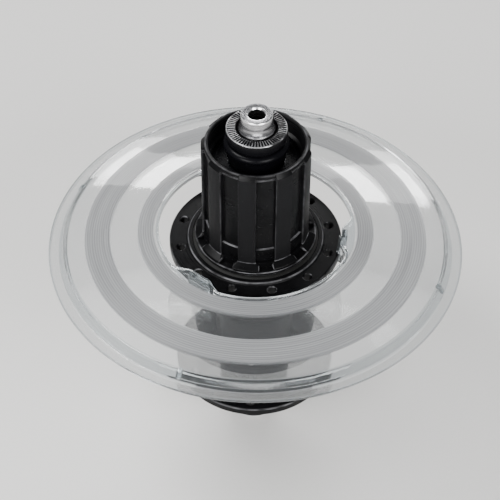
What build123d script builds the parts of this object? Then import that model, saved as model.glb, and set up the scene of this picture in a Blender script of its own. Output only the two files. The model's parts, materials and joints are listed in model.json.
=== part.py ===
"""Rear road-bicycle hub with a 24-hole shell, a nine-spline freehub and a clear spoke protector.

The frame: origin at the middle of the axle, on its axis, +Z along the axle towards the drive side.
All lengths are in millimetres and all angles in degrees.
"""

from build123d import *
from math import cos, radians, sin
import os

# Overall
locknut_face_z = 65.0          # half of the 130 mm spacing of a road frame's dropouts
axle_end_z = 70.5
fit_gap = 0.05                 # radial gap of a seated piece
run_gap = 0.10                 # radial gap of a piece that turns inside another

# Axle
axle_end_r = 5.0
axle_thread_r = 6.0
axle_journal_r = 7.46
axle_waist_r = 9.0
skewer_bore_r = 2.6
flare_top_z = 67.2
flare_base_z = 64.7

# End caps and locknuts
cap_top_z = 60.4
cap_flange_r = 10.4
cap_neck_r = 8.9
nut_r = 9.6
serration_count = 60
serration_inner_r = 6.9
serration_outer_r = 8.95
serration_depth = 0.35
serration_half_width = 0.26

# Bearings: bore radius, outer radius, width, ball radius and ball count
large_bearing = (7.5, 14.0, 7.0, 1.93, 12)
small_bearing = (7.5, 12.0, 5.0, 1.19, 16)
groove_gap = 0.10
shell_left_bearing_z = -47.5
shell_drive_bearing_z = -1.0
freehub_inboard_bearing_z = 7.5
freehub_outboard_bearing_z = 47.5

# Shell
drive_flange_r = 28.3
drive_flange_top_z = 17.7
left_flange_r = 27.5
left_flange_top_z = -38.9
flange_thickness = 3.2
spoke_hole_r = 1.25
spoke_hole_count = 12
drive_hole_circle_r = 24.8
left_hole_circle_r = 24.0
drive_hole_angle = 12.5
left_hole_angle = 27.5
shell_top_z = 18.7
shell_left_z = -54.0
shell_waist_r = 13.2
shell_bore_r = 10.6
ratchet_pocket_r = 20.6
ratchet_pocket_z = 4.0

# Ratchet
tooth_count = 24
tooth_tip_r = 17.0
tooth_root_r = 18.5
tooth_face_angle = 0.8         # how far the steep face leans
ratchet_top_z = 14.4
pawl_count = 3
pawl_pivot_r = 14.4
pawl_heel_r = 1.5
pawl_tip_r = 17.85
pawl_tip_angle = -24.0         # the tip trails the pivot clockwise, seen from the drive side
pawl_tip_thickness = 1.6
pawl_low_z = 7.0
pawl_high_z = 13.0
pawl_tip_play = 5.0            # angle from the raised tip to the steep face of its tooth
pawl_fold_angle = -12.0        # how far a pawl lies folded, clear of the teeth

# Freehub body
carrier_r = 16.2
carrier_low_z = 4.5
collar_low_z = 19.1
collar_top_z = 20.4
collar_r = 19.8
foot_inner_z = 22.7
foot_outer_z = 21.2
step_r = 17.3
valley_base_z = 27.7
valley_base_r = 16.5
valley_r = 15.9
lobe_r = 17.4
lobe_count = 9
lobe_width = 19.0
key_lobe_width = 13.0          # one narrow spline keys the sprockets
key_lobe = 5
first_lobe_angle = -99.3
rim_z = 59.0
thread_major_r = 15.25
thread_minor_r = 14.70
thread_pitch = 1.0
thread_low_z = 53.4

# Spoke protector
guard_r = 68.0
guard_edge_z = 15.7
guard_hole_r = 31.7
guard_hole_z = 22.2
guard_thickness = 1.3
clip_count = 3
clip_angle = -8.0
clip_inner_r = 27.6
bridge_count = 4
bridge_angle = -21.0

pieces_made = []


def save(piece, name):
    """Label a finished piece and write it as one STEP file."""
    piece.part.label = name
    export_step(piece.part, f"parts/{name}.step")
    pieces_made.append(name)


def section(points):
    """A closed outline of (radius, height) points in the XZ plane."""
    with BuildSketch(Plane.XZ) as outline:
        with BuildLine():
            Polyline(*points, close=True)
        make_face()
    return outline.sketch


def tube_section(inner_r, outer_r, low_z, high_z):
    """The rectangular outline of a plain ring."""
    return section([(inner_r, low_z), (outer_r, low_z), (outer_r, high_z), (inner_r, high_z)])


def polar(radius, angle):
    """A point in the XY plane from its radius and angle."""
    return (radius * cos(radians(angle)), radius * sin(radians(angle)))


def sector(inner_r, outer_r, inner_width, outer_width, angle, height):
    """A ring sector about the axis, at a height, that widens from its inner to its outer arc."""
    inner_start = angle - inner_width / 2
    outer_start = angle - outer_width / 2
    with BuildSketch(Plane.XY.offset(height)) as shape:
        with BuildLine():
            CenterArc((0, 0), inner_r, inner_start, inner_width)
            CenterArc((0, 0), outer_r, outer_start, outer_width)
            Line(polar(inner_r, inner_start), polar(outer_r, outer_start))
            Line(polar(inner_r, inner_start + inner_width), polar(outer_r, outer_start + outer_width))
        make_face()
    return shape.sketch


# ---------------------------------------------------------------- axle and its stack

def make_axle():
    """The hollow axle: plain ends, flared roots, threaded seats, journals and a middle shoulder."""
    journal_end_z = freehub_outboard_bearing_z + large_bearing[2] / 2 - 0.5
    left_journal_end_z = shell_left_bearing_z - large_bearing[2] / 2 + 0.5
    shoulder_top_z = shell_drive_bearing_z - large_bearing[2] / 2
    shoulder_low_z = shell_left_bearing_z + large_bearing[2] / 2
    flare_hollow = 0.28
    flare_middle_r = (axle_end_r + axle_thread_r) / 2 - flare_hollow
    flare_middle_z = (flare_top_z + flare_base_z) / 2 - flare_hollow
    edge = 0.4
    with BuildPart() as axle:
        with BuildSketch(Plane.XZ):
            with BuildLine():
                top = Polyline(
                    (skewer_bore_r + edge, axle_end_z),
                    (axle_end_r - edge, axle_end_z),
                    (axle_end_r, axle_end_z - edge),
                    (axle_end_r, flare_top_z),
                )
                top_flare = ThreePointArc(
                    top @ 1, (flare_middle_r, flare_middle_z), (axle_thread_r, flare_base_z)
                )
                middle = Polyline(
                    top_flare @ 1,
                    (axle_thread_r, journal_end_z + edge),
                    (axle_journal_r, journal_end_z),
                    (axle_journal_r, shoulder_top_z),
                    (axle_waist_r, shoulder_top_z),
                    (axle_waist_r, shoulder_low_z),
                    (axle_journal_r, shoulder_low_z),
                    (axle_journal_r, left_journal_end_z),
                    (axle_thread_r, left_journal_end_z - edge),
                    (axle_thread_r, -flare_base_z),
                )
                low_flare = ThreePointArc(
                    middle @ 1, (flare_middle_r, -flare_middle_z), (axle_end_r, -flare_top_z)
                )
                Polyline(
                    low_flare @ 1,
                    (axle_end_r, -axle_end_z + edge),
                    (axle_end_r - edge, -axle_end_z),
                    (skewer_bore_r + edge, -axle_end_z),
                    (skewer_bore_r, -axle_end_z + edge),
                    (skewer_bore_r, axle_end_z - edge),
                    top @ 0,
                )
            make_face()
        revolve(axis=Axis.Z)
    save(axle, "axle")


def make_end_cap(name, side):
    """A spacer with a rounded dust flange, between the outer bearing and a locknut."""
    race_face_z = freehub_outboard_bearing_z + large_bearing[2] / 2
    bore_r = axle_thread_r + fit_gap
    swell_low_z = 57.4
    swell_top_z = 58.6
    crown_low_z = 59.2
    swell_arc_r = 1.6
    crown_arc_r = 1.2
    with BuildPart() as cap:
        with BuildSketch(Plane.XZ):
            with BuildLine():
                neck = Polyline(
                    (bore_r, cap_top_z),
                    (bore_r, race_face_z),
                    (cap_neck_r, race_face_z),
                    (cap_neck_r, swell_low_z),
                )
                swell = RadiusArc(neck @ 1, (cap_flange_r, swell_top_z), -swell_arc_r)
                rim = Line(swell @ 1, (cap_flange_r, crown_low_z))
                crown = RadiusArc(rim @ 1, (cap_flange_r - crown_arc_r, cap_top_z), -crown_arc_r)
                Line(crown @ 1, neck @ 0)
            make_face()
        revolve(axis=Axis.Z)
        if side < 0:
            mirror(about=Plane.XY, mode=Mode.REPLACE)
    save(cap, name)


def make_locknut(name, side):
    """A round locknut whose face has a ring of radial V serrations that bite the dropout."""
    edge = 0.3
    bore_r = axle_thread_r + fit_gap
    neck_r = nut_r - 1.0
    neck_top_z = cap_top_z + 0.8
    shoulder_z = cap_top_z + 1.4
    recess_r = bore_r + 0.5
    recess_z = locknut_face_z - 1.2
    with BuildPart() as nut:
        revolve(
            section([
                (bore_r, cap_top_z),
                (neck_r, cap_top_z),
                (neck_r, neck_top_z),
                (nut_r, shoulder_z),
                (nut_r, locknut_face_z - edge),
                (nut_r - edge, locknut_face_z),
                (recess_r, locknut_face_z),
                (recess_r, recess_z),
                (bore_r, recess_z - 0.5),
            ]),
            axis=Axis.Z,
        )
        with BuildSketch(Plane.YZ.offset(serration_inner_r)) as groove:
            with BuildLine():
                Polyline(
                    (-serration_half_width, locknut_face_z),
                    (serration_half_width, locknut_face_z),
                    (0, locknut_face_z - serration_depth),
                    close=True,
                )
            make_face()
        cutter = extrude(
            groove.sketch, amount=serration_outer_r - serration_inner_r, mode=Mode.PRIVATE
        )
        with PolarLocations(0, serration_count):
            add(cutter, mode=Mode.SUBTRACT)
        if side < 0:
            mirror(about=Plane.XY, mode=Mode.REPLACE)
    save(nut, name)


def make_spacers():
    """The tube between the freehub's inner races and the washer between hub and freehub bearings."""
    inboard_top_z = freehub_inboard_bearing_z + small_bearing[2] / 2
    outboard_low_z = freehub_outboard_bearing_z - large_bearing[2] / 2
    bore_r = axle_journal_r + fit_gap
    long_spacer_r = 9.0
    washer_r = 8.7
    with BuildPart() as long_spacer:
        revolve(tube_section(bore_r, long_spacer_r, inboard_top_z, outboard_low_z), axis=Axis.Z)
    save(long_spacer, "freehub_bearing_spacer")
    shell_race_z = shell_drive_bearing_z + large_bearing[2] / 2
    inboard_low_z = freehub_inboard_bearing_z - small_bearing[2] / 2
    with BuildPart() as short_spacer:
        revolve(tube_section(bore_r, washer_r, shell_race_z, inboard_low_z), axis=Axis.Z)
    save(short_spacer, "inner_spacer_washer")


# ---------------------------------------------------------------- bearings

def make_bearing(name, middle_z, size):
    """A sealed deep-groove ball bearing: two races, balls, a cage and a pair of seals."""
    bore_r, outer_r, width, ball_r, ball_count = size
    pitch_r = (bore_r + outer_r) / 2
    land_reach = 0.8 * ball_r
    inner_land_r = pitch_r - land_reach
    outer_land_r = pitch_r + land_reach
    groove_r = ball_r + groove_gap
    edge = 0.3
    low_z = middle_z - width / 2
    high_z = middle_z + width / 2

    with BuildSketch(Plane.XZ) as groove:
        with Locations((pitch_r, middle_z)):
            Circle(groove_r)

    with BuildPart() as inner_race:
        revolve(
            section([
                (bore_r + edge, low_z),
                (inner_land_r, low_z),
                (inner_land_r, high_z),
                (bore_r + edge, high_z),
                (bore_r, high_z - edge),
                (bore_r, low_z + edge),
            ]),
            axis=Axis.Z,
        )
        revolve(groove.sketch, axis=Axis.Z, mode=Mode.SUBTRACT)
    save(inner_race, f"{name}_inner_race")

    seat_r = outer_r - fit_gap / 2
    with BuildPart() as outer_race:
        revolve(
            section([
                (outer_land_r, low_z),
                (seat_r - edge, low_z),
                (seat_r, low_z + edge),
                (seat_r, high_z - edge),
                (seat_r - edge, high_z),
                (outer_land_r, high_z),
            ]),
            axis=Axis.Z,
        )
        revolve(groove.sketch, axis=Axis.Z, mode=Mode.SUBTRACT)
    save(outer_race, f"{name}_outer_race")

    with BuildPart() as balls:
        with Locations((0, 0, middle_z)):
            with PolarLocations(pitch_r, ball_count):
                Sphere(ball_r)
    save(balls, f"{name}_balls")

    cage_half_height = 1.3 * ball_r
    cage_half_width = 0.35 * ball_r
    with BuildPart() as cage:
        revolve(
            tube_section(
                pitch_r - cage_half_width,
                pitch_r + cage_half_width,
                middle_z - cage_half_height,
                middle_z + cage_half_height,
            ),
            axis=Axis.Z,
        )
        with Locations((0, 0, middle_z)):
            with PolarLocations(pitch_r, ball_count):
                Cylinder(ball_r + fit_gap, ball_r * 2, rotation=(0, 90, 0), mode=Mode.SUBTRACT)
    save(cage, f"{name}_cage")

    seal_thickness = 0.4
    seal_inset = 0.15
    seal_inner_r = inner_land_r + run_gap
    seal_outer_r = outer_land_r - fit_gap
    with BuildPart() as seals:
        for seal_low_z in (low_z + seal_inset, high_z - seal_inset - seal_thickness):
            revolve(
                tube_section(seal_inner_r, seal_outer_r, seal_low_z, seal_low_z + seal_thickness),
                axis=Axis.Z,
            )
    save(seals, f"{name}_seals")


# ---------------------------------------------------------------- shell

def drill_spoke_holes(circle_r, first_angle, top_z):
    """The solid of one flange's spoke holes, with a countersink at both mouths."""
    sink = 0.35
    overshoot = 1.0
    low_z = top_z - flange_thickness
    with BuildPart() as holes:
        with PolarLocations(circle_r, spoke_hole_count, start_angle=first_angle):
            with Locations((0, 0, top_z - flange_thickness / 2)):
                Cylinder(spoke_hole_r, flange_thickness + overshoot)
            with Locations((0, 0, top_z - sink / 2)):
                Cone(spoke_hole_r, spoke_hole_r + sink, sink)
            with Locations((0, 0, low_z + sink / 2)):
                Cone(spoke_hole_r + sink, spoke_hole_r, sink)
    return holes.part


def make_hub_shell():
    """The one-piece shell: two flanges, a tapered body, bearing seats and the ratchet pocket."""
    edge = 0.5
    seat_r = large_bearing[1]
    drive_seat_low_z = shell_drive_bearing_z - large_bearing[2] / 2
    left_seat_high_z = shell_left_bearing_z + large_bearing[2] / 2
    drive_low_z = drive_flange_top_z - flange_thickness
    left_low_z = left_flange_top_z - flange_thickness
    boss_r = 22.3
    boss_foot_r = 22.9
    drive_root_r = 23.2
    drum_r = 22.4
    drum_foot = (22.3, 3.2)
    shoulder_foot = (17.2, -4.5)
    waist_top_z = -13.0
    waist_low_z = -31.0
    left_root_r = 17.5
    left_boss_root_r = 20.0
    left_boss_r = 18.6
    left_end_r = 17.0
    race_stop_r = 12.0
    with BuildPart() as shell:
        with BuildSketch(Plane.XZ):
            with BuildLine():
                boss = Polyline(
                    (ratchet_pocket_r, shell_top_z),
                    (boss_r - 0.4, shell_top_z),
                    (boss_r, shell_top_z - 0.4),
                )
                boss_foot = RadiusArc(boss @ 1, (boss_foot_r, drive_flange_top_z), -0.7)
                drive_flange = Polyline(
                    boss_foot @ 1,
                    (drive_flange_r - edge, drive_flange_top_z),
                    (drive_flange_r, drive_flange_top_z - edge),
                    (drive_flange_r, drive_low_z + edge),
                    (drive_flange_r - edge, drive_low_z),
                    (drive_root_r, drive_low_z),
                )
                drive_root = RadiusArc(drive_flange @ 1, (drum_r, drive_low_z - 0.9), -1.0)
                drive_drum = Line(drive_root @ 1, drum_foot)
                shoulder = RadiusArc(drive_drum @ 1, shoulder_foot, 7.5)
                neck = RadiusArc(shoulder @ 1, (shell_waist_r, waist_top_z), -12.0)
                waist = Line(neck @ 1, (shell_waist_r, waist_low_z))
                left_root = RadiusArc(waist @ 1, (left_root_r, left_flange_top_z), -9.5)
                left_flange = Polyline(
                    left_root @ 1,
                    (left_flange_r - edge, left_flange_top_z),
                    (left_flange_r, left_flange_top_z - edge),
                    (left_flange_r, left_low_z + edge),
                    (left_flange_r - edge, left_low_z),
                    (left_boss_root_r, left_low_z),
                )
                left_foot = RadiusArc(left_flange @ 1, (left_boss_r, left_low_z - 1.4), -1.4)
                Polyline(
                    left_foot @ 1,
                    (left_end_r, shell_left_z + edge),
                    (left_end_r - edge, shell_left_z),
                    (seat_r, shell_left_z),
                    (seat_r, left_seat_high_z),
                    (race_stop_r, left_seat_high_z),
                    (race_stop_r, left_seat_high_z + 1.5),
                    (shell_bore_r, left_seat_high_z + 3.0),
                    (shell_bore_r, drive_seat_low_z - 3.0),
                    (race_stop_r, drive_seat_low_z - 1.5),
                    (race_stop_r, drive_seat_low_z),
                    (seat_r, drive_seat_low_z),
                    (seat_r, ratchet_pocket_z),
                    (ratchet_pocket_r, ratchet_pocket_z),
                    boss @ 0,
                )
            make_face()
        revolve(axis=Axis.Z)
        add(
            drill_spoke_holes(drive_hole_circle_r, drive_hole_angle, drive_flange_top_z),
            mode=Mode.SUBTRACT,
        )
        add(
            drill_spoke_holes(left_hole_circle_r, left_hole_angle, left_flange_top_z),
            mode=Mode.SUBTRACT,
        )
    save(shell, "hub_shell")


def make_ratchet_ring():
    """The steel ring of saw teeth in the shell; each steep face looks anticlockwise."""
    tooth_pitch = 360 / tooth_count
    tip_angle_on_pivot_line = pawl_tip_angle - pawl_tip_play
    teeth = []
    for tooth in range(tooth_count):
        angle = tip_angle_on_pivot_line + tooth * tooth_pitch
        teeth.append(polar(tooth_tip_r, angle))
        teeth.append(polar(tooth_root_r, angle + tooth_face_angle))
    with BuildPart() as ring:
        with BuildSketch(Plane.XY.offset(ratchet_pocket_z)):
            Circle(ratchet_pocket_r - fit_gap)
            with BuildLine():
                Polyline(*teeth, close=True)
            make_face(mode=Mode.SUBTRACT)
        extrude(amount=ratchet_top_z - ratchet_pocket_z)
    save(ring, "ratchet_ring")


def make_shell_seals():
    """The rubber ring between the shell and the freehub, and the left end's dust cap."""
    inner_r = carrier_r + 0.3
    outer_r = ratchet_pocket_r - fit_gap
    with BuildPart() as labyrinth:
        revolve(
            section([
                (inner_r, ratchet_top_z),
                (outer_r, ratchet_top_z),
                (outer_r, shell_top_z - 0.2),
                (outer_r - 1.15, shell_top_z + 0.1),
                (inner_r + 1.3, shell_top_z - 0.7),
                (inner_r, shell_top_z - 1.4),
            ]),
            axis=Axis.Z,
        )
    save(labyrinth, "freehub_seal")

    seal_seat_z = shell_left_bearing_z - large_bearing[2] / 2
    seat_r = large_bearing[1] - fit_gap
    skirt_inner_r = 12.6
    flange_r = 15.8
    face_r = 14.9
    face_z = shell_left_z - 1.6
    lip_r = cap_neck_r + 0.4
    lip_top_z = shell_left_z - 0.4
    with BuildPart() as dust_cap:
        revolve(
            section([
                (skirt_inner_r, seal_seat_z),
                (seat_r, seal_seat_z),
                (seat_r, shell_left_z),
                (flange_r, shell_left_z),
                (flange_r, shell_left_z - 0.7),
                (face_r, face_z),
                (lip_r, face_z),
                (lip_r, lip_top_z),
                (skirt_inner_r, lip_top_z),
            ]),
            axis=Axis.Z,
        )
    save(dust_cap, "left_dust_cap")


# ---------------------------------------------------------------- freehub

def pawl_outline(height, growth):
    """The outline of a pawl whose pivot lies on the X axis, grown outwards by a clearance."""
    heel = Vector(pawl_pivot_r, 0)
    outer_tip = Vector(*polar(pawl_tip_r, pawl_tip_angle))
    inner_tip = Vector(*polar(pawl_tip_r - pawl_tip_thickness, pawl_tip_angle))
    lean = (outer_tip - heel).normalized()
    across = Vector(-lean.Y, lean.X) * pawl_heel_r
    with BuildSketch(Plane.XY.offset(height)) as outline:
        with Locations((heel.X, heel.Y)):
            Circle(pawl_heel_r)
        with BuildLine():
            Polyline(heel + across, outer_tip, inner_tip, heel - across, close=True)
        make_face()
        if growth:
            offset(amount=growth, kind=Kind.ARC)
    return outline.sketch


def pocket_outline(height):
    """The room that a pawl sweeps between its raised and its folded place."""
    room = 0.12
    tip_margin_angle = 5.0
    pocket_depth = 3.6
    overshoot = 1.0
    with BuildSketch(Plane.XY.offset(height)) as outline:
        for turn in (0, pawl_fold_angle / 2, pawl_fold_angle - overshoot):
            swung = pawl_outline(height, room).rotate(Axis((pawl_pivot_r, 0, 0), (0, 0, 1)), turn)
            add(swung)
        with BuildLine():
            Polyline(
                polar(pawl_tip_r, pawl_tip_angle - tip_margin_angle),
                polar(pawl_tip_r - pocket_depth, pawl_tip_angle - tip_margin_angle),
                (pawl_pivot_r - pawl_heel_r, 0),
                (carrier_r + overshoot, 0),
                polar(pawl_tip_r + overshoot, pawl_tip_angle / 2),
                close=True,
            )
        make_face()
    return outline.sketch


def make_pawls():
    """Three pawls, folded in their pockets as they lie while the wheel coasts."""
    pivot = Axis((pawl_pivot_r, 0, 0), (0, 0, 1))
    folded = pawl_outline(pawl_low_z, 0).rotate(pivot, pawl_fold_angle)
    for number in range(pawl_count):
        with BuildPart() as pawl:
            extrude(
                folded.rotate(Axis.Z, number * 360 / pawl_count),
                amount=pawl_high_z - pawl_low_z,
            )
        save(pawl, f"pawl_{number + 1}")


def make_pawl_springs():
    """A leaf spring pressed flat on the floor of each pawl's pocket."""
    thickness = 0.2
    end_gap = 1.5
    spring_root = (12.78, -3.2)
    spring_tip = (12.60, -6.2)
    with BuildPart() as springs:
        with BuildSketch(Plane.XY.offset(pawl_low_z + end_gap)) as leaf:
            with BuildLine():
                Polyline(
                    spring_root,
                    spring_tip,
                    (spring_tip[0] + thickness, spring_tip[1]),
                    (spring_root[0] + thickness, spring_root[1]),
                    close=True,
                )
            make_face()
        with PolarLocations(0, pawl_count):
            add(leaf.sketch)
        extrude(amount=pawl_high_z - pawl_low_z - 2 * end_gap)
    save(springs, "pawl_springs")


def make_freehub_body():
    """The splined driver: nine splines on feet, a threaded mouth, bearing seats and pawl pockets."""
    inboard_high_z = freehub_inboard_bearing_z + small_bearing[2] / 2
    outboard_low_z = freehub_outboard_bearing_z - large_bearing[2] / 2
    race_top_z = freehub_outboard_bearing_z + large_bearing[2] / 2
    rim_ring_z = rim_z - 1.2
    ridge_top_z = rim_z - 2.0
    ridge_low_z = ridge_top_z - 0.5
    ridge_r = valley_r + 0.35
    rim_r = valley_r + 0.6
    snap_groove_r = large_bearing[1] + 0.6
    snap_groove_low_z = race_top_z + 0.05
    snap_groove_top_z = race_top_z + 1.15
    bore_r = 12.6
    inboard_stop_r = 10.9
    sunk = 0.5
    spline_root_r = valley_r - 0.3
    foot_spread = 7.0
    thread_half_height = 0.42
    pocket_room = 0.1
    with BuildPart() as freehub:
        revolve(
            section([
                (small_bearing[1], carrier_low_z),
                (carrier_r, carrier_low_z),
                (carrier_r, collar_low_z),
                (collar_r - 0.4, collar_low_z),
                (collar_r, collar_low_z + 0.4),
                (collar_r, collar_top_z),
                (step_r + 0.2, collar_top_z + 0.3),
                (step_r, foot_inner_z),
                (valley_base_r, foot_inner_z + 0.3),
                (valley_base_r, valley_base_z),
                (valley_r, valley_base_z),
                (valley_r, ridge_low_z),
                (ridge_r, ridge_low_z),
                (ridge_r, ridge_top_z),
                (valley_r, ridge_top_z),
                (valley_r, rim_ring_z),
                (rim_r, rim_ring_z),
                (rim_r, rim_z - 0.4),
                (rim_r - 0.4, rim_z),
                (thread_major_r, rim_z),
                (thread_minor_r, rim_z - 0.55),
                (thread_minor_r, thread_low_z),
                (large_bearing[1], thread_low_z - 0.4),
                (large_bearing[1], snap_groove_top_z),
                (snap_groove_r, snap_groove_top_z),
                (snap_groove_r, snap_groove_low_z),
                (large_bearing[1], snap_groove_low_z),
                (large_bearing[1], outboard_low_z),
                (bore_r, outboard_low_z),
                (bore_r, inboard_high_z + 5.0),
                (inboard_stop_r, inboard_high_z + 4.0),
                (inboard_stop_r, inboard_high_z),
                (small_bearing[1], inboard_high_z),
            ]),
            axis=Axis.Z,
        )
        for lobe in range(lobe_count):
            angle = first_lobe_angle + lobe * 360 / lobe_count
            width = key_lobe_width if lobe == key_lobe else lobe_width
            foot_width = lobe_width + foot_spread
            extrude(
                sector(spline_root_r, lobe_r, width, width, angle, foot_inner_z - sunk),
                amount=rim_z - foot_inner_z + sunk,
            )
            extrude(
                sector(spline_root_r, collar_r, lobe_width, foot_width, angle, collar_top_z - sunk),
                amount=foot_inner_z - collar_top_z + sunk,
            )
        foot_slope = section([
            (lobe_r, foot_inner_z),
            (collar_r + 1, foot_inner_z + 0.1),
            (collar_r + 1, foot_outer_z - 0.6),
        ])
        revolve(foot_slope, axis=Axis.Z, mode=Mode.SUBTRACT)
        rim_bevel = section([
            (valley_r + 0.5, rim_z + 0.1),
            (lobe_r + 0.6, rim_z + 0.1),
            (lobe_r + 0.6, rim_z - 1.5),
        ])
        revolve(rim_bevel, axis=Axis.Z, mode=Mode.SUBTRACT)
        thread_turns = int((rim_z - thread_low_z) / thread_pitch) - 1
        for turn in range(thread_turns):
            crest_z = rim_z - 1.2 - turn * thread_pitch
            groove = section([
                (thread_minor_r - 0.1, crest_z - thread_half_height),
                (thread_major_r, crest_z),
                (thread_minor_r - 0.1, crest_z + thread_half_height),
            ])
            revolve(groove, axis=Axis.Z, mode=Mode.SUBTRACT)
        pocket = extrude(
            pocket_outline(pawl_low_z - pocket_room),
            amount=pawl_high_z - pawl_low_z + 2 * pocket_room,
            mode=Mode.PRIVATE,
        )
        with PolarLocations(0, pawl_count):
            add(pocket, mode=Mode.SUBTRACT)
    save(freehub, "freehub_body")


def make_dust_shield():
    """The thin black ring that covers the snap ring and the outer bearing."""
    shield_low_z = thread_low_z - 1.2
    shield_inner_r = cap_neck_r + 0.35
    shield_outer_r = large_bearing[1] - fit_gap
    web_top_z = shield_low_z + 0.45
    rim_top_z = shield_low_z + 0.7
    with BuildPart() as shield:
        revolve(
            section([
                (shield_inner_r, shield_low_z),
                (shield_outer_r, shield_low_z),
                (shield_outer_r, rim_top_z),
                (shield_outer_r - 1.2, rim_top_z),
                (shield_outer_r - 1.6, web_top_z),
                (shield_inner_r, web_top_z),
            ]),
            axis=Axis.Z,
        )
    save(shield, "freehub_dust_shield")


def make_snap_ring():
    """The open steel ring that keeps the outer bearing in the freehub body."""
    race_top_z = freehub_outboard_bearing_z + large_bearing[2] / 2
    ring_low_z = race_top_z + 0.1
    ring_height = 1.0
    ring_inner_r = 12.9
    ring_outer_r = large_bearing[1] + 0.5
    gap_width = 40.0
    gap_angle = 90.0
    with BuildPart() as ring:
        revolve(
            tube_section(ring_inner_r, ring_outer_r, ring_low_z, ring_low_z + ring_height),
            axis=Axis.Z,
        )
        extrude(
            sector(ring_inner_r - 1, ring_outer_r + 1, gap_width, gap_width, gap_angle, ring_low_z),
            amount=ring_height,
            mode=Mode.SUBTRACT,
        )
    save(ring, "freehub_snap_ring")


# ---------------------------------------------------------------- spoke protector

def guard_section():
    """The disc's outline: flat rim, step, shallow cone and a beaded hole edge."""
    rises = [
        (64.6, 0.0),               # the step's foot
        (63.9, 0.5),
        (63.0, 2.4),
        (62.2, 2.9),               # the step's head
        (55.9, 3.65),              # the outer frosted band, down to the next radius
        (47.6, 4.8),
        (38.6, 6.0),               # the inner frosted band, down to the next radius
        (33.3, 6.4),
    ]
    slope = [(radius, guard_edge_z + rise) for radius, rise in rises]
    rim = [(guard_r - 0.5, guard_edge_z)]
    bead = [(guard_hole_r + 0.5, guard_hole_z + 0.25)]
    under_slope = [(radius, height - guard_thickness) for radius, height in reversed(slope)]
    inner_edge = [(guard_hole_r, guard_hole_z - 0.1), (guard_hole_r, guard_hole_z - guard_thickness)]
    outer_edge = [
        (guard_r - 0.5, guard_edge_z - 1.1),
        (guard_r, guard_edge_z - 0.7),
        (guard_r, guard_edge_z - 0.4),
    ]
    return section(rim + slope + bead + inner_edge + under_slope + outer_edge)


def make_spoke_protector():
    """The clear disc behind the sprockets, with three clips that hook over the drive flange."""
    flange_low_z = drive_flange_top_z - flange_thickness
    clip_clear_r = drive_flange_r + 0.25
    leg_r = clip_clear_r + 1.4
    plate_low_z = guard_hole_z - guard_thickness
    barb_height = 1.3
    barb_low_z = flange_low_z - 0.2 - barb_height
    leg_width = 17.0
    tab_width = 13.0
    tab_height = 1.2
    tongue_tip_width = 19.0
    tongue_root_width = 34.0
    sunk = 0.4
    bridge_inner_r = 61.2
    bridge_outer_r = 64.4
    bridge_width = 1.5
    bridge_height = 3.7
    with BuildPart() as guard:
        revolve(guard_section(), axis=Axis.Z)
        for clip in range(clip_count):
            angle = clip_angle + clip * 360 / clip_count
            tongue = sector(
                clip_inner_r + 0.8,
                guard_hole_r + 1.2,
                tongue_tip_width,
                tongue_root_width,
                angle,
                plate_low_z,
            )
            extrude(tongue, amount=guard_thickness)
            extrude(
                sector(clip_clear_r, leg_r, leg_width, leg_width, angle, barb_low_z),
                amount=plate_low_z - barb_low_z + 0.1,
            )
            extrude(
                sector(clip_inner_r, clip_clear_r + sunk, leg_width, leg_width, angle, barb_low_z),
                amount=barb_height,
            )
            tab = sector(
                clip_inner_r - 0.4,
                clip_clear_r + sunk,
                tab_width,
                tab_width,
                angle,
                drive_flange_top_z,
            )
            extrude(tab, amount=tab_height)
        for bridge in range(bridge_count):
            angle = bridge_angle + bridge * 360 / bridge_count - 90
            web = sector(
                bridge_inner_r,
                bridge_outer_r,
                bridge_width,
                bridge_width,
                angle,
                guard_edge_z - 0.5,
            )
            extrude(web, amount=bridge_height)
    save(guard, "spoke_protector")


# ---------------------------------------------------------------- everything

def main():
    os.makedirs("parts", exist_ok=True)
    make_axle()
    make_end_cap("drive_end_cap", 1)
    make_end_cap("left_end_cap", -1)
    make_locknut("drive_locknut", 1)
    make_locknut("left_locknut", -1)
    make_spacers()
    make_bearing("shell_left_bearing", shell_left_bearing_z, large_bearing)
    make_bearing("shell_drive_bearing", shell_drive_bearing_z, large_bearing)
    make_bearing("freehub_inboard_bearing", freehub_inboard_bearing_z, small_bearing)
    make_bearing("freehub_outboard_bearing", freehub_outboard_bearing_z, large_bearing)
    make_hub_shell()
    make_ratchet_ring()
    make_shell_seals()
    make_freehub_body()
    make_snap_ring()
    make_dust_shield()
    make_pawls()
    make_pawl_springs()
    make_spoke_protector()
    print(len(pieces_made), "pieces:", ", ".join(pieces_made))


main()
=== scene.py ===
"""The look of the rear hub: camera, soft studio light, pale floor and a material for every piece."""

import json
import math

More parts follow.
